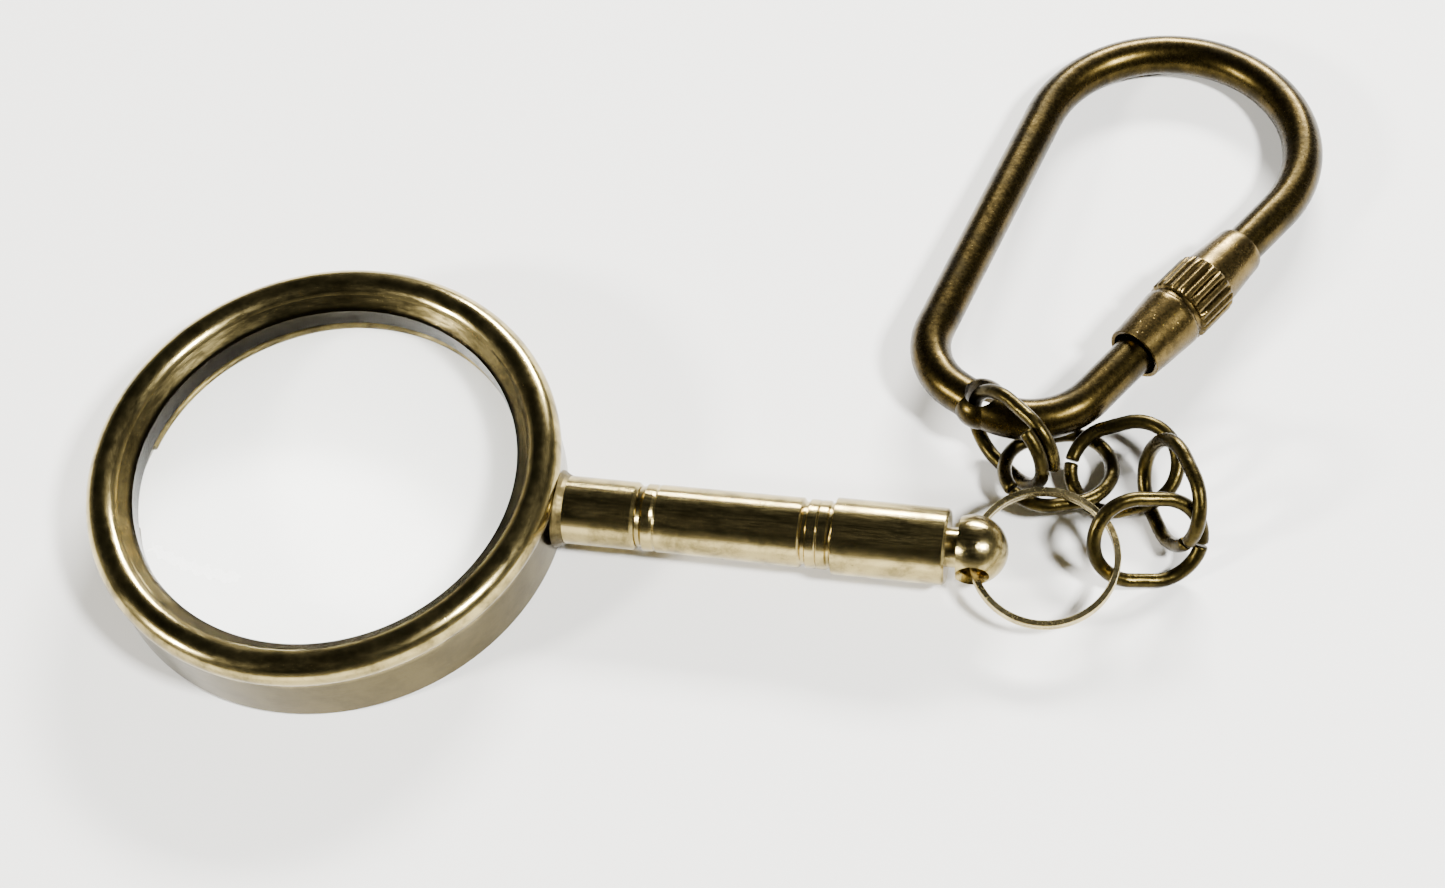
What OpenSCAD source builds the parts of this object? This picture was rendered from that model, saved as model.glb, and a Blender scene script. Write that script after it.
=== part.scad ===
// Brass hand lens on a short chain, with a screw-lock key ring.
// +Z is up. The origin is the centre of the bezel, on the plane it rests on.
// The handle runs along +X. The chain and the key ring lie beyond its far end.

/* [Bezel] */
// Outer diameter over the rolled bead
bezel_d = 37; // [36.6:0.2:38]
// Height of the bezel
bezel_h = 7.1; // [6.8:0.1:7.6]
// Radius of the rolled bead
bead_r = 1.4; // [1.2:0.1:1.5]
// Clear opening above the lens
clear_d = 30; // [29.6:0.1:30.2]

/* [Lens] */
// Diameter of the glass
lens_d = 30.9; // [30.7:0.1:31]
// Thickness of the glass at its rim
lens_edge = 1.2; // [1:0.1:1.3]
// Radius of both polished faces
lens_face_r = 70; // [64:1:90]

/* [Handle] */
// Height of the handle's axis above the resting plane
axis_z = 3.2; // [3:0.1:3.4]
// Diameter of the collar and the barrel
barrel_d = 5.2; // [5:0.1:5.4]
// Diameter of the end section
end_d = 5.8; // [5.6:0.1:6]
// Diameter of the ball
ball_d = 5.2; // [5:0.1:5.4]
// Diameter of the cross hole through the ball
cross_hole_d = 2.0; // [1.9:0.1:2.1]

/* [Chain] */
// Wire diameter of the links
link_wire_d = 1.1; // [0.9:0.1:1.1]
// Length of a link between wire centres
link_long = 8.2; // [8:0.1:8.3]
// Width of a link between wire centres
link_wide = 6.5; // [6.4:0.1:6.6]
// Gap left between the butted ends of a link
link_gap = 0.3; // [0.2:0.1:0.6]
// Mean diameter of the split ring
split_d = 10.7; // [10.5:0.1:10.7]

/* [Key ring] */
// Wire diameter of the key ring
ring_wire_d = 3.2; // [3:0.1:3.2]
// Hole drilled through the bend for the last link
eye_hole_d = 2.5; // [2.4:0.1:2.6]
// Largest diameter of the lock nut, over its flutes
nut_d = 5.4; // [5.2:0.1:5.8]
// Number of flutes round the lock nut
nut_flutes = 22; // [18:1:26]

/* [Hidden] */
fine = 96;
medium = 48;
play = 0.02;
weld = 0.2;
rod_r = ring_wire_d / 2 - 0.01;
BRASS = "#a8904e";
DULL_BRASS = "#8a7440";

// Bezel: a plain wall, a rolled bead above it and a slope down to the lip over the lens.
bezel_r = bezel_d / 2;
wall_r = bezel_r - 0.3;
clear_r = clear_d / 2;
seat_r = 15.6;
shoulder_z = 3.8;
lip_z = 5.6;
edge_break = 0.3;
bead_at = [bezel_r - bead_r, bezel_h - bead_r];
slope_top = bead_at + bead_r * [cos(125), sin(125)];
tenon_r = 1.25;
tenon_tip_x = 16.4;

// Lens: the rim's half thickness plus the rise of the polished face at radius r.
function face_height(r) =
  lens_edge / 2 + sqrt(pow(lens_face_r, 2) - pow(r, 2)) - sqrt(pow(lens_face_r, 2) - pow(lens_d / 2, 2));
lens_z = shoulder_z - play - face_height(clear_r);
snap_wire_r = 0.4;
snap_r = 15.35;
snap_z = lens_z - face_height(snap_r) - snap_wire_r - play;
snap_sweep = 332;

// Handle: stations along +X, from the bezel to the ball.
collar_end_x = 24.6;
barrel_end_x = 37.6;
shoulder_x = 48.1;
ball_flat_x = 48.9;
ball_x = 50;
hole_x = 50.2;
flare_depth = 0.8;
flare_rise = 0.55;
saddle_r = bezel_r + play;
spigot_r = 1.3;
spigot_len = 2.8;
barrel_r = barrel_d / 2;
end_r = end_d / 2;
neck_r = 1.5;
groove_depth = 0.22;

// Split ring: two flat turns through the cross hole, turned about the hole's axis.
split_wire = [0.5, 0.42];
split_pitch = 0.46;
split_off_axis = 0.3;
split_turn = 2;
split_lean = 8;
split_steps = 40;

// Each link: centre, tilt, direction of the tilt, spin in its own plane, direction of its gap.
link_poses = [
  [[62.6, 2.1, 3.5], 55, -67, -106, 175],
  [[64, 6.3, 3.6], 68, -155, -88, 165],
  [[60.3, 8.9, 2.4], 24, -117, -47, 335],
  [[55.4, 8.4, 1.9], 7, 76, 122, 25],
  [[51.6, 9.6, 3.9], 80, -132, -89, 0]];
link_r = link_wide / 2;
link_s = (link_long - link_wide) / 2;
double_turn = 430;
double_start = 180;
double_steps = 60;

// Key ring: its centre line is the outline drawn round three circles, each [x, y, radius].
ring_at = [49.1, 12.4, 3.9];
ring_pitch = -3.4;
crown = [12.0, 27.25, 10.75];
heel = [0.9, 5.7, 5.5];
toe = [3.2, 4.9, 6.0];
function centre(c) = [c.x, c.y];
function spread(a, b) = centre(b) - centre(a);
function touch_angle(a, b) =
  atan2(spread(a, b).y, spread(a, b).x) - acos((a.z - b.z) / norm(spread(a, b)));
function on_circle(c, angle) = centre(c) + c.z * [cos(angle), sin(angle)];
crown_to_heel = touch_angle(crown, heel) + 360;
heel_to_toe = touch_angle(heel, toe) + 360;
toe_to_crown = touch_angle(toe, crown);
straight_start = on_circle(toe, toe_to_crown);
straight_len = norm(on_circle(crown, toe_to_crown) - straight_start);
eye_r = 2.1;
eye_round_r = 1.5;

// Stations along the straight that carries the lock nut.
mouth_s = 5.2;
plain_end_s = 6.4;
thread_start_s = 9.6;
thread_pitch = 0.6;
thread_turns = 9;
thread_depth = 0.18;
nut_groove = 5.2;
nut_flute_end = 9.2;
nut_len = 13.6;
nut_mouth_r = 2.25;
nut_sleeve_r = 2.6;
nut_mouth_bore_r = 1.95;
nut_bore_r = ring_wire_d / 2 + 0.1;
nut_bore_step = 4.8;
flute_r = 0.26;

module bezel_profile() {
  difference() {
    union() {
      polygon([[seat_r + edge_break, 0], [wall_r - edge_break, 0], [wall_r, edge_break],
        [wall_r, bead_at.y - bead_r / 2], bead_at + [0, bead_r / 2], slope_top, [clear_r + 0.15, lip_z],
        [clear_r, lip_z - 0.2], [clear_r, shoulder_z], [seat_r, shoulder_z], [seat_r, edge_break]]);
      translate(bead_at) circle(r = bead_r, $fn = medium);
    }
    translate([snap_r, snap_z]) circle(r = snap_wire_r + 2 * play, $fn = medium);
  }
}

module bezel() {
  color(BRASS) difference() {
    rotate_extrude($fn = fine) bezel_profile();
    translate([tenon_tip_x, 0, axis_z]) rotate([0, 90, 0]) cylinder(r = tenon_r, h = 3, $fn = medium);
  }
}

module lens() {
  arc_steps = 24;
  step = lens_d / 2 / arc_steps;
  upper = [for (i = [arc_steps : -1 : 0]) [i * step, lens_z + face_height(i * step)]];
  lower = [for (i = [0 : arc_steps]) [i * step, lens_z - face_height(i * step)]];
  color([0.85, 0.93, 0.95, 0.4]) rotate_extrude($fn = fine) polygon(concat(upper, lower));
}

module retaining_ring() {
  color(DULL_BRASS) translate([0, 0, snap_z]) rotate([0, 0, 200])
    rotate_extrude(angle = snap_sweep, $fn = fine) translate([snap_r, 0])
      circle(r = snap_wire_r, $fn = medium);
}

// A solid of revolution about the handle's axis: each point is [radius, station along +X].
module turned(points) {
  translate([0, 0, axis_z]) rotate([0, 90, 0]) rotate_extrude($fn = fine) polygon(points);
}

module bezel_body(r) {
  translate([0, 0, -1]) cylinder(r = r, h = bezel_h + 2, $fn = fine);
}

module braze_fillet() {
  color(DULL_BRASS) difference() {
    turned([[barrel_r + play, bezel_r - 1.2], [barrel_r + 0.5, bezel_r - 1.2], [barrel_r + 0.35, bezel_r],
      [barrel_r + 0.15, bezel_r + 0.3], [barrel_r + play, bezel_r + 0.6]]);
    bezel_body(saddle_r);
  }
}

module handle_collar() {
  color(BRASS) {
    difference() {
      turned([[0, wall_r - 1], [barrel_r, wall_r - 1], [barrel_r, collar_end_x - 0.25],
        [barrel_r - 0.2, collar_end_x], [0, collar_end_x]]);
      bezel_body(saddle_r);
      turned([[0, collar_end_x - spigot_len - 0.2], [spigot_r + play, collar_end_x - spigot_len - 0.2],
        [spigot_r + play, collar_end_x + 1], [0, collar_end_x + 1]]);
    }
    turned([[0, tenon_tip_x + 0.1], [tenon_r - play, tenon_tip_x + 0.1], [tenon_r - play, saddle_r + 0.6],
      [0, saddle_r + 0.6]]);
  }
}

module handle_barrel() {
  from_x = collar_end_x + play;
  to_x = barrel_end_x - play;
  color(BRASS) turned([[0, from_x - spigot_len], [spigot_r, from_x - spigot_len], [spigot_r, from_x],
    [barrel_r - groove_depth - 0.1, from_x], [barrel_r - groove_depth, from_x + 0.4],
    [barrel_r - 0.04, from_x + 0.6], [barrel_r - 0.04, from_x + 1.2],
    [barrel_r - 0.12, from_x + 1.4], [barrel_r - 0.02, from_x + 1.6],
    [barrel_r, from_x + 5], [barrel_r + 0.05, to_x - 0.5],
    [barrel_r - groove_depth, to_x - 0.25], [barrel_r - groove_depth, to_x],
    [spigot_r, to_x], [spigot_r, to_x + spigot_len], [0, to_x + spigot_len]]);
}

module ball() {
  intersection() {
    translate([ball_x, 0, axis_z]) sphere(d = ball_d, $fn = fine);
    translate([ball_flat_x, -ball_d, axis_z - ball_d]) cube(2 * ball_d);
  }
}

module cross_hole() {
  mouth_y = ball_d / 2;
  translate([hole_x, 0, axis_z]) rotate([90, 0, 0]) {
    cylinder(d = cross_hole_d, h = 2 * ball_d, center = true, $fn = medium);
    for (side = [0, 180]) rotate([0, side, 0]) translate([0, 0, mouth_y - flare_depth])
      cylinder(d1 = cross_hole_d, d2 = cross_hole_d + 2 * flare_rise, h = flare_depth + 0.1, $fn = medium);
  }
}

module handle_end() {
  start = barrel_end_x;
  color(BRASS) difference() {
    union() {
      turned([[0, start], [end_r - 0.42, start], [end_r - 0.3, start + 0.1], [end_r - 0.3, start + 0.75],
        [end_r - 0.38, start + 0.85], [end_r - 0.3, start + 0.95], [end_r - 0.3, start + 1.55],
        [end_r - 0.42, start + 1.7], [end_r - 0.42, start + 1.85],
        [end_r, start + 2.05], [end_r, shoulder_x - 0.2], [end_r - 0.2, shoulder_x],
        [neck_r, shoulder_x], [neck_r, ball_flat_x + 0.2], [0, ball_flat_x + 0.2]]);
      ball();
    }
    turned([[0, start - 1], [spigot_r + play, start - 1], [spigot_r + play, start + spigot_len + 0.2],
      [0, start + spigot_len + 0.2]]);
    cross_hole();
  }
}

// A tube swept along a path: rings[i] holds the points of one cross-section.
module swept(rings) {
  n = len(rings[0]);
  last = len(rings) - 1;
  points = [for (ring = rings) for (p = ring) p];
  sides = [for (i = [0 : last - 1]) for (j = [0 : n - 1])
    [i * n + j, i * n + (j + 1) % n, (i + 1) * n + (j + 1) % n, (i + 1) * n + j]];
  start_cap = [[for (j = [n - 1 : -1 : 0]) j]];
  end_cap = [[for (j = [0 : n - 1]) last * n + j]];
  polyhedron(points = points, faces = concat(sides, start_cap, end_cap), convexity = 6);
}

module in_split_ring_plane() {
  translate([hole_x, 0, axis_z]) rotate([split_lean, 0, 0]) rotate([0, split_turn, 0])
    translate([split_d / 2 - split_off_axis, 0, 0]) children();
}

// A rounded rectangle in the plane of radius and height, as a list of offsets.
function wire_section(size) = [for (a = [22.5 : 45 : 337.5])
  [size.x / 2 * cos(a) / cos(22.5), size.y / 2 * sin(a) / cos(22.5)]];

function coil_ring(angle, height) = [for (s = wire_section(split_wire))
  let (r = split_d / 2 + s.x) [r * cos(angle), r * sin(angle), height + s.y]];

module split_ring() {
  color(BRASS) in_split_ring_plane() swept([for (i = [0 : 2 * split_steps])
    let (turn = i / split_steps) coil_ring(40 + 360 * turn, split_pitch * (turn - 1))]);
}

// A link's centre line is two half circles joined by short straights along x.
module link_arc() {
  rotate([0, 0, -90]) rotate_extrude(angle = 180, $fn = medium) translate([link_r, 0])
    circle(d = link_wire_d, $fn = medium);
}

module link_bar() {
  translate([0, link_r, 0]) rotate([0, 90, 0])
    cylinder(d = link_wire_d, h = 2 * link_s, center = true, $fn = medium);
}

module oval_link(gap_at) {
  difference() {
    union() {
      for (side = [0, 180]) rotate([0, 0, side]) {
        translate([link_s, 0, 0]) link_arc();
        link_bar();
      }
    }
    rotate([0, 0, gap_at]) translate([0, -link_gap / 2, -link_wire_d])
      cube([link_long, link_gap, 2 * link_wire_d]);
  }
}

module posed(pose) {
  translate(pose[0]) rotate([0, 0, pose[2]]) rotate([0, pose[1], 0]) rotate([0, 0, pose[3]]) children();
}

module chain_link(pose) {
  color(DULL_BRASS) posed(pose) oval_link(pose[4]);
}

module link_1() { chain_link(link_poses[0]); }
module link_2() { chain_link(link_poses[1]); }
module link_3() { chain_link(link_poses[2]); }
module link_4() { chain_link(link_poses[3]); }

// The last link is bent through about one and a fifth turns, so its ends lie side by side.
function link_point(a) = [link_s * sign(cos(a)) + link_r * cos(a), link_r * sin(a), 0];
function lapped_ring(a) = let (rise = (a - double_start - double_turn / 2) / 360 * (link_wire_d + play),
  out = [cos(a), sin(a), 0])
  [for (k = [0 : 9]) link_point(a) + [0, 0, rise]
    + link_wire_d / 2 * (cos(36 * k) * out + sin(36 * k) * [0, 0, 1])];

module link_5() {
  pose = link_poses[4];
  color(DULL_BRASS) posed(pose) swept([for (i = [0 : double_steps])
    lapped_ring(double_start + double_turn * i / double_steps)]);
}

module in_ring_plane() {
  translate(ring_at) rotate([ring_pitch, 0, 0]) children();
}

module ring_arc(c, from, to) {
  translate([c.x, c.y, 0]) rotate([0, 0, from]) rotate_extrude(angle = to - from, $fn = fine)
    translate([c.z, 0]) circle(d = ring_wire_d, $fn = medium);
}

// A straight of the ring's wire, run into the arc at each end, where it lies just under the surface.
module rod(from, to) {
  along = to - from;
  translate([from.x, from.y, 0]) rotate([0, 90, atan2(along.y, along.x)])
    translate([0, 0, -weld]) cylinder(r = rod_r, h = norm(along) + 2 * weld, $fn = medium);
}

// Places children on the straight that carries the nut: +Z along the wire, from the toe end.
module on_straight(s) {
  translate([straight_start.x, straight_start.y, 0]) rotate([0, 0, toe_to_crown + 90]) rotate([0, 90, 0])
    translate([0, 0, s]) children();
}

module thread() {
  outer = ring_wire_d / 2;
  top = thread_turns * thread_pitch;
  rotate_extrude($fn = medium) polygon(concat([[0, 0], [outer - 2 * thread_depth, 0]],
    [for (i = [0 : thread_turns - 1]) each [[outer, (i + 0.5) * thread_pitch],
      [outer - thread_depth, (i + 1) * thread_pitch]]],
    [[0, top]]));
}

module eye_profile() {
  intersection() {
    translate([eye_r - eye_round_r, 0]) circle(r = eye_round_r, $fn = medium);
    translate([0, -eye_round_r]) square([eye_r, 2 * eye_round_r]);
  }
}

module key_ring() {
  thread_end_s = thread_start_s + thread_turns * thread_pitch;
  color(DULL_BRASS) in_ring_plane() difference() {
    union() {
      ring_arc(crown, toe_to_crown, crown_to_heel);
      rod(on_circle(crown, crown_to_heel), on_circle(heel, crown_to_heel));
      ring_arc(heel, crown_to_heel, heel_to_toe);
      rod(on_circle(heel, heel_to_toe), on_circle(toe, heel_to_toe));
      ring_arc(toe, heel_to_toe, toe_to_crown + 360);
      on_straight(-weld) cylinder(r = rod_r, h = plain_end_s - 0.4 + weld, $fn = medium);
      on_straight(plain_end_s - 0.4) cylinder(r1 = rod_r, r2 = rod_r - 0.4, h = 0.4, $fn = medium);
      on_straight(thread_start_s) thread();
      on_straight(thread_end_s) cylinder(r = rod_r, h = straight_len - thread_end_s + weld, $fn = medium);
      rotate_extrude($fn = medium) eye_profile();
    }
    cylinder(d = eye_hole_d, h = 2 * ring_wire_d, center = true, $fn = medium);
  }
}

module nut_profile() {
  flute_base = nut_d / 2;
  polygon([[nut_mouth_bore_r, 0], [nut_mouth_r, 0], [nut_sleeve_r, nut_groove - 0.5],
    [nut_sleeve_r - 0.25, nut_groove - 0.15], [nut_sleeve_r - 0.25, nut_groove + 0.1],
    [flute_base, nut_groove + 0.35], [flute_base, nut_flute_end - 0.2],
    [flute_base - 0.2, nut_flute_end], [nut_sleeve_r - 0.2, nut_flute_end + 0.1],
    [nut_bore_r + 0.3, nut_len - 0.1], [nut_bore_r, nut_len],
    [nut_bore_r, nut_bore_step], [nut_mouth_bore_r, nut_bore_step - 0.3]]);
}

module lock_nut() {
  color(DULL_BRASS) in_ring_plane() on_straight(mouth_s) difference() {
    rotate_extrude($fn = fine) nut_profile();
    for (i = [0 : nut_flutes - 1]) rotate([0, 0, i * 360 / nut_flutes])
      translate([nut_d / 2 + 0.08, 0, nut_groove - 0.2])
        cylinder(r = flute_r, h = nut_flute_end - nut_groove + 0.3, $fn = 24);
  }
}

bezel();
lens();
retaining_ring();
braze_fillet();
handle_collar();
handle_barrel();
handle_end();
split_ring();
link_1();
link_2();
link_3();
link_4();
link_5();
key_ring();
lock_nut();
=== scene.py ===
import math
import bpy
import numpy as np
from mathutils import Matrix, Vector


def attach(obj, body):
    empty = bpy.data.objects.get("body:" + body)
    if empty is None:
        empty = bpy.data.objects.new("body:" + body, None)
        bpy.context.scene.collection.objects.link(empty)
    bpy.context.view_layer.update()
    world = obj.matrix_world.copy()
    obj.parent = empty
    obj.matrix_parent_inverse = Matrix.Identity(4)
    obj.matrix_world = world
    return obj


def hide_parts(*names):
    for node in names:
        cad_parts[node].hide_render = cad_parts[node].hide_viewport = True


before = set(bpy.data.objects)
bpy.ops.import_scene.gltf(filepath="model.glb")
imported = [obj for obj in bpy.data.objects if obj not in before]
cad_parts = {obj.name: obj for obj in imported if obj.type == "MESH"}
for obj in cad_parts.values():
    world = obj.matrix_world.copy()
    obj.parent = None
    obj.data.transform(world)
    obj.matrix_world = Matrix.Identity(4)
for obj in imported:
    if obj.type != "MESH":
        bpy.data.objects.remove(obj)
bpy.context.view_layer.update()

MM = 0.001

# Sizes and places in millimetres and degrees, as the CAD source has them.
HOLE_AT = np.array([50.2, 0, 3.2])
RING_AT = np.array([49.1, 12.4, 3.9])
RING_PITCH = -3.4
CROWN = (12.0, 27.25, 10.75)
TOE = (3.2, 4.9, 6.0)
SPLIT_R, SPLIT_OFF_AXIS, SPLIT_PITCH, SPLIT_START = 5.35, 0.3, 0.46, 40
SPLIT_LEAN, SPLIT_TURN = 8, 2
SPLIT_HALF_WIDTH, SPLIT_HALF_HEIGHT = 0.25, 0.21
DOUBLE_TURN, DOUBLE_RISE = 430, 1.12
END_ROUND = 0.12
LINK_GAP_HALF = 0.11


# ---------------------------------------------------------------- geometry

def make_object(name, verts, faces, sharp_deg):
    mesh = bpy.data.meshes.new(name)
    mesh.from_pydata([tuple(float(c) * MM for c in v) for v in verts], [], faces)
    mesh.validate()
    mesh.update()
    mesh.shade_smooth()
    mesh.set_sharp_from_angle(angle=math.radians(sharp_deg))
    obj = bpy.data.objects.new(name, mesh)
    bpy.context.scene.collection.objects.link(obj)
    return obj


def frames_along(path):
    """Tangent and two normals at each point, carried along without twist."""
    n = len(path)
    t = np.zeros_like(path)
    t[1:-1] = path[2:] - path[:-2]
    t[0] = path[1] - path[0]
    t[-1] = path[-1] - path[-2]
    t /= np.linalg.norm(t, axis=1)[:, None]
    ref = np.array([0.0, 0.0, 1.0]) if abs(t[0][2]) < 0.9 else np.array([1.0, 0.0, 0.0])
    u = np.zeros_like(path)
    u[0] = np.cross(ref, t[0])
    u[0] /= np.linalg.norm(u[0])
    for i in range(1, n):
        u[i] = u[i - 1] - t[i] * np.dot(u[i - 1], t[i])
        u[i] /= np.linalg.norm(u[i])
    return t, u, np.cross(t, u)


def wire(name, path, radius, sides, rng, wobble):
    """A round wire along an open path, its ends sheared off with a softened edge."""
    path = np.array(path, float)
    t, u, v = frames_along(path)
    phase = rng.uniform(0, 6.28, 4)
    s = np.linspace(0, 1, len(path))
    waves = 0.25 * np.sin(9 * s + phase[0]) + 0.25 * np.sin(23 * s + phase[1])
    radii = radius * (1 - wobble * (0.5 + waves))
    last = len(path) - 1
    step_in, shoulder = END_ROUND * 0.35, END_ROUND * 0.3
    rows = [(path[0], radii[0] * 0.55, 0), (path[0], radii[0] - END_ROUND, 0),
            (path[0] + t[0] * step_in, radii[0] - shoulder, 0)]
    rows += [(path[i], radii[i], i) for i in range(1, last)]
    rows += [(path[last] - t[last] * step_in, radii[last] - shoulder, last),
             (path[last], radii[last] - END_ROUND, last), (path[last], radii[last] * 0.55, last)]
    verts, faces = [], []
    for centre, r, i in rows:
        for k in range(sides):
            a = 2 * math.pi * k / sides
            verts.append(centre + r * (math.cos(a) * u[i] + math.sin(a) * v[i]))
    for j in range(len(rows) - 1):
        for k in range(sides):
            a, b = j * sides + k, j * sides + (k + 1) % sides
            faces.append((a, b, b + sides, a + sides))
    for base, flip in ((0, True), ((len(rows) - 1) * sides, False)):
        ring = list(range(base, base + sides))
        faces.append(tuple(reversed(ring)) if flip else tuple(ring))
    return make_object(name, verts, faces, 50)


def rot(axis, deg):
    return np.array(Matrix.Rotation(math.radians(deg), 3, axis))


LINK_R, LINK_S, WIRE_R = 3.25, 0.85, 0.55
# Each link: centre, tilt, direction of the tilt, spin in its own plane, direction of its gap.
LINKS = [
    ((62.6, 2.1, 3.5), 55, -67, -106, 175),
    ((64, 6.3, 3.6), 68, -155, -88, 165),
    ((60.3, 8.9, 2.4), 24, -117, -47, 335),
    ((55.4, 8.4, 1.9), 7, 76, 122, 25),
    ((51.6, 9.6, 3.9), 80, -132, -89, 0),
]


def link_outline(a):
    c, s = math.cos(a), math.sin(a)
    return LINK_R * c + LINK_S * max(-1.0, min(1.0, 14 * c)), LINK_R * s


def link_path(i, rng):
    centre, tilt, toward, spin, gap = LINKS[i]
    pts = []
    if i < 4:
        half = math.asin(LINK_GAP_HALF / (LINK_R + LINK_S * 0.9))
        start = math.radians(gap) + half
        angles = np.linspace(start, math.radians(gap) + 2 * math.pi - half, 150)
        phase = rng.uniform(0, 6.28, 2)
        for a in angles:
            x, y = link_outline(a)
            k = 1 + 0.004 * math.sin(3 * a + phase[0]) + 0.003 * math.sin(5 * a + phase[1])
            spring = 0.05 * (a - angles[0] - math.pi) / math.pi
            pts.append((x * k, y * k, spring))
    else:
        turn = math.radians(DOUBLE_TURN)
        for a in np.linspace(math.pi, math.pi + turn, 180):
            x, y = link_outline(a)
            rise = (a - math.pi - turn / 2) / (2 * math.pi) * DOUBLE_RISE
            pts.append((x, y, rise))
    m = rot("Z", toward) @ rot("Y", tilt) @ rot("Z", spin)
    return [m @ np.array(p) + np.array(centre) for p in pts]


rng = np.random.default_rng(7)
new = {}
for i in range(5):
    obj = wire("link_%d_wire" % (i + 1), link_path(i, rng), WIRE_R, 24, rng, 0.02)
    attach(obj, "chain_%d" % (i + 1))
    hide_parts("link_%d" % (i + 1))
    new["link_%d" % (i + 1)] = obj


def split_ring():
    """Two flat turns of half-round strip, with a rounded outer face and bevelled corners."""
    section = []
    w, h = SPLIT_HALF_WIDTH, SPLIT_HALF_HEIGHT
    for a in np.linspace(-75, 75, 9):
        c, s = math.cos(math.radians(a)), math.sin(math.radians(a))
        section.append((w * (0.55 + 0.45 * c), h * s / math.sin(math.radians(75))))
    section += [(0.1, h), (-w + 0.07, h), (-w, h - 0.07), (-w, -h + 0.07), (-w + 0.07, -h), (0.1, -h)]
    m = rot("X", SPLIT_LEAN) @ rot("Y", SPLIT_TURN)
    verts, faces = [], []
    steps = 260
    n = len(section)
    for i in range(steps + 1):
        f = i / steps
        a = math.radians(SPLIT_START + 720 * f)
        z = SPLIT_PITCH * (2 * f - 1)
        squeeze = min(1.0, 0.82 + 0.18 * min(f, 1 - f) * 60)
        for s, t in section:
            r = SPLIT_R + s * squeeze
            across = r * math.cos(a) + SPLIT_R - SPLIT_OFF_AXIS
            p = np.array([across, r * math.sin(a), z + t * squeeze])
            verts.append(m @ p + HOLE_AT)
    for i in range(steps):
        for k in range(n):
            a, b = i * n + k, i * n + (k + 1) % n
            faces.append((a, b, b + n, a + n))
    faces.append(tuple(reversed(range(n))))
    faces.append(tuple(range(steps * n, steps * n + n)))
    return make_object("split_ring_strip", verts, faces, 40)


obj = split_ring()
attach(obj, "split")
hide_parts("split_ring")
new["split_ring"] = obj


def nut_straight():
    """Start and direction of the key ring's straight, which touches its toe and crown arcs."""
    dx, dy = CROWN[0] - TOE[0], CROWN[1] - TOE[1]
    touch = math.atan2(dy, dx) - math.acos((TOE[2] - CROWN[2]) / math.hypot(dx, dy))
    at = [TOE[0] + TOE[2] * math.cos(touch), TOE[1] + TOE[2] * math.sin(touch), 0.0]
    return np.array(at), math.degrees(touch) + 90


NUT_AT, NUT_ANGLE = nut_straight()
NUT_MOUTH, NUT_FLUTES = 5.2, 22
FLUTE_FROM, FLUTE_TO, FLUTE_RUNOUT, FLUTE_DEPTH = 5.36, 9.12, 0.25, 0.26
# The nut's outline from its mouth: radius and station.
NUT_PROFILE = [
    (1.95, 0.05), (2.2, 0.0), (2.25, 0.06), (2.34, 1.2), (2.46, 3.0), (2.58, 4.6),
    (2.55, 4.75), (2.36, 4.98), (2.34, 5.15), (2.36, 5.34), (2.58, 5.42), (2.7, 5.55),
    (2.7, 6.2), (2.7, 7.2), (2.7, 8.3), (2.7, 8.95), (2.6, 9.1), (2.42, 9.16),
    (2.4, 9.3), (2.3, 10.4), (2.16, 11.9), (2.02, 13.3), (1.93, 13.52), (1.8, 13.58),
    (1.71, 13.5),
]


def lock_nut():
    """Turned nut: a tapered sleeve, a groove, a band of straight cut flutes and a cone."""
    steps = NUT_FLUTES * 12
    rows = []
    for (r0, z0), (r1, z1) in zip(NUT_PROFILE, NUT_PROFILE[1:]):
        cuts = max(1, int(abs(z1 - z0) / 0.35))
        rows += [(r0 + (r1 - r0) * k / cuts, z0 + (z1 - z0) * k / cuts) for k in range(cuts)]
    rows.append(NUT_PROFILE[-1])
    inner = [(1.71, 9.0), (1.71, 4.9), (1.95, 4.6), (1.95, 1.5)]
    verts, faces = [], []
    place = rot("X", RING_PITCH)
    turn = rot("Z", NUT_ANGLE) @ rot("Y", 90)
    for r, z in rows + inner:
        run_in = max(0.0, min(1.0, (z - FLUTE_FROM) / FLUTE_RUNOUT))
        run_out = max(0.0, min(1.0, (FLUTE_TO - z) / FLUTE_RUNOUT))
        fluted = run_in * run_out if r > 2.3 else 0.0
        for k in range(steps):
            a = 2 * math.pi * k / steps
            cut = FLUTE_DEPTH * fluted * (1 - abs(math.cos(a * NUT_FLUTES / 2))) ** 1.1
            wear = 0.012 * math.sin(3 * a + z) * math.sin(1.7 * z + 5 * a)
            rr = r - cut - (abs(wear) if r > 2.0 else 0.0)
            q = turn @ np.array([rr * math.cos(a), rr * math.sin(a), z + NUT_MOUTH]) + NUT_AT
            verts.append(place @ q + RING_AT)
    total = len(rows) + len(inner)
    for j in range(total):
        for k in range(steps):
            a, b = j * steps + k, j * steps + (k + 1) % steps
            c, d = ((j + 1) % total) * steps + (k + 1) % steps, ((j + 1) % total) * steps + k
            faces.append((a, b, c, d))
    return make_object("lock_nut_fluted", verts, faces, 32)


obj = lock_nut()
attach(obj, "nut")
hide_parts("lock_nut")
new["lock_nut"] = obj


# ---------------------------------------------------------------- materials

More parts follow.
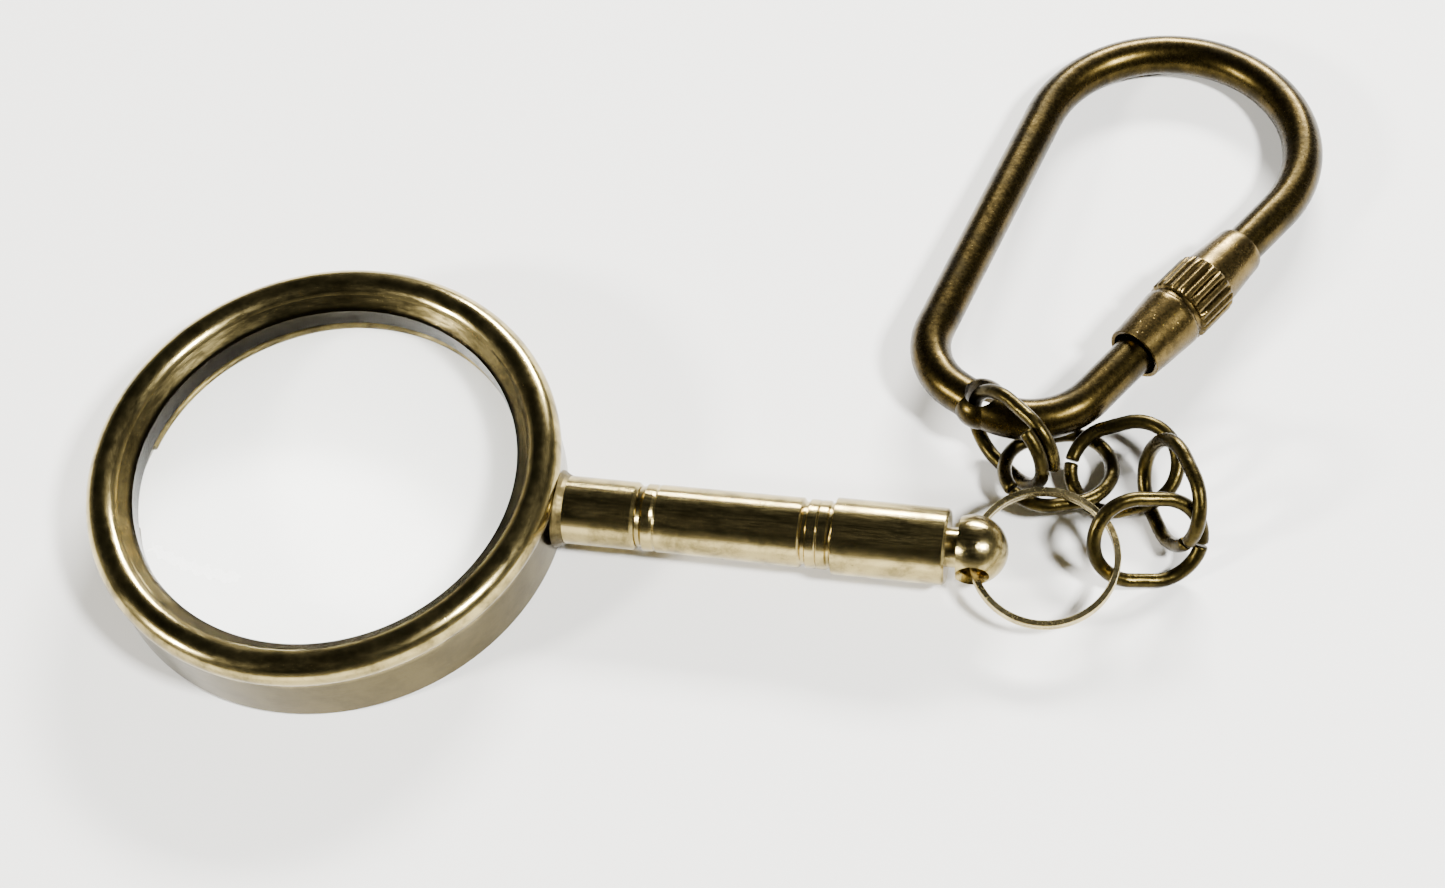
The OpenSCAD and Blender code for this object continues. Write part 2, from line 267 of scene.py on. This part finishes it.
class Nodes:
    """Short names for building a node tree whose coordinates are millimetres in the row frame."""

    def __init__(self, name):
        self.mat = bpy.data.materials.new(name)
        self.mat.use_nodes = True
        self.tree = self.mat.node_tree
        self.tree.nodes.clear()
        self.out = self.add("ShaderNodeOutputMaterial")
        self.bsdf = self.add("ShaderNodeBsdfPrincipled")
        self.link(self.bsdf.outputs[0], self.out.inputs[0])
        coord = self.add("ShaderNodeTexCoord")
        scale = self.add("ShaderNodeVectorMath", operation="SCALE")
        scale.inputs["Scale"].default_value = 1000.0
        self.link(coord.outputs["Object"], scale.inputs[0])
        self.mm = scale.outputs[0]

    def add(self, kind, **props):
        node = self.tree.nodes.new(kind)
        for k, v in props.items():
            setattr(node, k, v)
        return node

    def link(self, a, b):
        self.tree.links.new(a, b)

    def stretch(self, scale):
        node = self.add("ShaderNodeVectorMath", operation="MULTIPLY")
        node.inputs[1].default_value = scale
        self.link(self.mm, node.inputs[0])
        return node.outputs[0]

    def noise(self, scale, detail=4.0, rough=0.55, where=None, distort=0.0):
        node = self.add("ShaderNodeTexNoise")
        node.inputs["Scale"].default_value = scale
        node.inputs["Detail"].default_value = detail
        node.inputs["Roughness"].default_value = rough
        node.inputs["Distortion"].default_value = distort
        self.link(where or self.mm, node.inputs["Vector"])
        return node.outputs["Fac"]

    def remap(self, fac, lo, hi, a, b):
        node = self.add("ShaderNodeMapRange")
        for k, v in zip(("From Min", "From Max", "To Min", "To Max"), (lo, hi, a, b)):
            node.inputs[k].default_value = v
        self.link(fac, node.inputs["Value"])
        return node.outputs[0]

    def math(self, op, a, b=None):
        node = self.add("ShaderNodeMath", operation=op)
        for i, x in enumerate((a, b)):
            if x is None:
                continue
            if isinstance(x, (int, float)):
                node.inputs[i].default_value = x
            else:
                self.link(x, node.inputs[i])
        return node.outputs[0]

    def mix(self, fac, a, b):
        node = self.add("ShaderNodeMix", data_type="RGBA")
        self.link(fac, node.inputs[0])
        for i, x in ((6, a), (7, b)):
            if isinstance(x, tuple):
                node.inputs[i].default_value = (*x, 1.0)
            else:
                self.link(x, node.inputs[i])
        return node.outputs[2]

    def bump(self, height, strength, distance, below=None):
        node = self.add("ShaderNodeBump")
        node.inputs["Strength"].default_value = strength
        node.inputs["Distance"].default_value = distance * MM
        self.link(height, node.inputs["Height"])
        if below is not None:
            self.link(below, node.inputs["Normal"])
        return node.outputs[0]


def brass(name, bright, dark, patina, tarnish, rough, scratch=(6, 6, 6), marks=0.5, grooves=None,
          pits=0.0, dents=0.0, shade_below_z=None, recess_shade_r=None):
    """Brass: bare metal, a browned film over part of it, fine scratches and small pits, and optional
    painted shade: darker below a height and near-black inside a radius.
    """
    n = Nodes(name)
    blotch = n.noise(0.35, 6, 0.6, distort=0.4)
    grain = n.noise(2.6, 5, 0.65)
    film = n.math("ADD", n.math("MULTIPLY", blotch, 0.7), n.math("MULTIPLY", grain, 0.3))
    metal = n.mix(n.remap(blotch, 0.35, 0.68, 0, 1), bright, dark)
    cover = n.remap(film, tarnish - 0.09, tarnish + 0.13, 0.0, 0.85)
    colour = n.mix(cover, metal, patina)
    speck = n.noise(7.0, 3, 0.5)
    colour = n.mix(n.remap(speck, 0.62, 0.75, 0.0, 0.45), colour, tuple(c * 0.55 for c in patina))
    # Painted shade: below this height the colour is pulled towards a darkened film, standing in for
    # shade on the lower walls and in the recess under the lip.
    if shade_below_z:
        z = n.add("ShaderNodeSeparateXYZ")
        n.link(n.mm, z.inputs[0])
        low = n.math("ADD", z.outputs["Z"], n.math("MULTIPLY", grain, 0.5))
        below = n.remap(low, shade_below_z - 0.3, shade_below_z + 0.5, 0.9, 0.0)
        colour = n.mix(below, colour, tuple(c * 0.9 for c in patina))
    # Painted shade: inside this radius the colour goes near-black, standing in for the shade in the
    # recess under the lip.
    if recess_shade_r:
        flat = n.add("ShaderNodeVectorMath", operation="LENGTH")
        n.link(n.stretch((1, 1, 0)), flat.inputs[0])
        inside = n.math("ADD", flat.outputs["Value"], n.math("MULTIPLY", grain, 0.12))
        in_recess_shade = n.remap(inside, recess_shade_r - 0.1, recess_shade_r + 0.12, 0.97, 0.0)
        colour = n.mix(in_recess_shade, colour, RECESS_SHADE_BLACK)
    n.link(colour, n.bsdf.inputs["Base Color"])
    n.bsdf.inputs["Metallic"].default_value = 1.0
    lines = n.noise(1.0, 6, 0.7, where=n.stretch(scratch))
    broad = n.remap(film, 0.3, 0.75, rough[0], rough[1])
    r = n.math("ADD", broad, n.remap(lines, 0.35, 0.7, -0.03, 0.07))
    n.link(r, n.bsdf.inputs["Roughness"])
    normal = n.bump(lines, 0.25 * marks, 0.04)
    if dents:
        normal = n.bump(n.noise(0.9, 2, 0.5), dents, 0.35, normal)
    if grooves:
        wave = n.noise(1.0, 5, 0.75, where=n.stretch(grooves))
        normal = n.bump(wave, 0.3, 0.04, normal)
    if pits:
        v = n.add("ShaderNodeTexVoronoi")
        v.inputs["Scale"].default_value = 2.2
        n.link(n.mm, v.inputs["Vector"])
        hole = n.remap(v.outputs["Distance"], 0.04, 0.16, 0.0, 1.0)
        normal = n.bump(hole, pits, 0.05, normal)
    n.link(normal, n.bsdf.inputs["Normal"])
    return n.mat


BRIGHT = (0.50, 0.40, 0.17)
OLIVE = (0.27, 0.215, 0.085)
BROWN = (0.075, 0.058, 0.022)
# Near-black painted shade for the recess inside the bezel lip, not the metal's own colour.
RECESS_SHADE_BLACK = (0.006, 0.005, 0.003)

mats = {
    # The rim gets painted shade below 5 mm height and near-black painted shade inside a 15.3 mm
    # radius.
    "rim": brass("rim_brass_mat", BRIGHT, OLIVE, BROWN, 0.56, (0.10, 0.24), (0.5, 0.5, 3.5), 0.6,
                 pits=0.08, shade_below_z=5.0, recess_shade_r=15.3),
    "handle": brass("handle_brass_mat", BRIGHT, OLIVE, BROWN, 0.57, (0.10, 0.25), (0.5, 6, 6), 0.5,
                    grooves=(9, 0.25, 0.25)),
    "dull": brass("dull_brass_mat", (0.13, 0.1, 0.04), (0.07, 0.055, 0.02), (0.03, 0.024, 0.012),
                  0.5, (0.35, 0.55), marks=1.0, dents=0.4),
    "link": brass("link_brass_mat", (0.066, 0.049, 0.014), (0.033, 0.025, 0.0065),
                  (0.013, 0.0095, 0.003), 0.52, (0.2, 0.42), (5, 5, 5), 0.8, dents=0.25, pits=0.15),
    "split": brass("split_brass_mat", (0.70, 0.58, 0.30), OLIVE, BROWN, 0.6, (0.16, 0.3),
                   (4, 4, 4), 0.4),
    "ring": brass("ring_brass_mat", (0.060, 0.041, 0.011), (0.031, 0.0225, 0.0055),
                  (0.012, 0.0085, 0.0025), 0.52, (0.20, 0.34), (3, 3, 3), 0.35, pits=0.12, dents=0.06),
    "nut": brass("nut_brass_mat", (0.125, 0.086, 0.028), (0.062, 0.044, 0.013),
                 (0.022, 0.015, 0.005), 0.56, (0.18, 0.36), (4, 4, 4), 0.7, pits=0.3),
}


def glass():
    n = Nodes("lens_glass_mat")
    b = n.bsdf
    b.inputs["Base Color"].default_value = (0.985, 0.995, 0.99, 1)
    b.inputs["IOR"].default_value = 1.5
    b.inputs["Transmission Weight"].default_value = 1.0
    smear = n.noise(0.25, 3, 0.5, where=n.stretch((1, 0.3, 1)))
    n.link(n.remap(smear, 0.45, 0.75, 0.0, 0.035), b.inputs["Roughness"])
    clear = n.add("ShaderNodeBsdfTransparent")
    path = n.add("ShaderNodeLightPath")
    mix = n.add("ShaderNodeMixShader")
    n.link(path.outputs["Is Shadow Ray"], mix.inputs[0])
    n.link(b.outputs[0], mix.inputs[1])
    n.link(clear.outputs[0], mix.inputs[2])
    n.link(mix.outputs[0], n.out.inputs[0])
    return n.mat


mats["glass"] = glass()


def paint(obj, mat):
    obj.data.materials.clear()
    obj.data.materials.append(mat)


def paint_node(obj, mat):
    if not obj.material_slots:
        obj.data.materials.append(mat)
    for s in obj.material_slots:
        s.link = "OBJECT"
        s.material = mat


NODE_MATS = {"bezel": "rim", "lens": "glass", "retaining_ring": "dull", "braze_fillet": "dull",
             "handle_collar": "handle", "handle_barrel": "handle", "handle_end": "handle",
             "split_ring": "split", "key_ring": "ring", "lock_nut": "nut"}
for node, key in NODE_MATS.items():
    if node in new:
        continue
    paint_node(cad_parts[node], mats[key])
for name, obj in new.items():
    paint(obj, mats[NODE_MATS.get(name, "link")])


# ---------------------------------------------------------------- floor, light, camera

# The floor lies a hair under the object, so the two faces do not fight.
FLOOR_DROP = 0.00003
bpy.ops.mesh.primitive_plane_add(size=4.0, location=(0.03, 0.01, -FLOOR_DROP))
floor = bpy.context.object
floor.name = "floor"
n = Nodes("floor_mat")
n.bsdf.inputs["Base Color"].default_value = (0.86, 0.86, 0.85, 1)
n.bsdf.inputs["Roughness"].default_value = 0.9
n.bsdf.inputs["Specular IOR Level"].default_value = 0.1
paint(floor, n.mat)

world = bpy.data.worlds.new("studio")
world.use_nodes = True
bpy.context.scene.world = world
wt = world.node_tree
wt.nodes.clear()
wo = wt.nodes.new("ShaderNodeOutputWorld")
bg = wt.nodes.new("ShaderNodeBackground")
ramp = wt.nodes.new("ShaderNodeValToRGB")
tc = wt.nodes.new("ShaderNodeTexCoord")
sep = wt.nodes.new("ShaderNodeSeparateXYZ")
wt.links.new(tc.outputs["Generated"], sep.inputs[0])
wt.links.new(sep.outputs["Z"], ramp.inputs[0])
el = ramp.color_ramp.elements
el[0].position, el[0].color = 0.0, (1.0, 0.97, 0.90, 1)
el[1].position, el[1].color = 0.5, (0.020, 0.022, 0.020, 1)
mid = el.new(0.2)
mid.color = (0.30, 0.29, 0.25, 1)
wt.links.new(ramp.outputs[0], bg.inputs["Color"])
bg.inputs["Strength"].default_value = 0.9
wt.links.new(bg.outputs[0], wo.inputs[0])


def area(name, at, toward, size, power, colour=(1, 1, 1), size_y=None):
    light = bpy.data.lights.new(name, "AREA")
    light.energy = power
    light.color = colour
    light.shape = "RECTANGLE" if size_y else "SQUARE"
    light.size = size
    if size_y:
        light.size_y = size_y
    obj = bpy.data.objects.new(name, light)
    bpy.context.scene.collection.objects.link(obj)
    obj.location = at
    obj.rotation_euler = (Vector(toward) - Vector(at)).to_track_quat("-Z", "Y").to_euler()
    return obj


area("back", (0.09, 0.52, 0.27), (0.03, 0.01, 0), 0.26, 13.0, (1.0, 0.98, 0.94), 0.07)
area("left", (-0.42, -0.26, 0.28), (0.02, 0, 0), 0.08, 6.0, (1.0, 0.97, 0.90))
area("overhead", (0.36, -0.12, 0.44), (0.04, 0.01, 0), 0.08, 9.0, (1.0, 0.99, 0.96))

LENS_MM, SENSOR_MM = 63.629, 36.0
CAMERA_AT = (0.06453789, -0.0937525, 0.16821383)
RIGHT = Vector((0.97994399, 0.17135238, -0.10172582))
UP = Vector((-0.09169331, 0.84096393, 0.53326541))
BACK = Vector((0.17692404, -0.51324266, 0.83980942))
cam_data = bpy.data.cameras.new("camera")
cam_data.lens = LENS_MM
cam_data.sensor_width = SENSOR_MM
cam_data.clip_start = 0.005
cam = bpy.data.objects.new("camera", cam_data)
bpy.context.scene.collection.objects.link(cam)
m = Matrix((RIGHT, UP, BACK)).transposed().to_4x4()
m.translation = CAMERA_AT
cam.matrix_world = m
bpy.context.scene.camera = cam
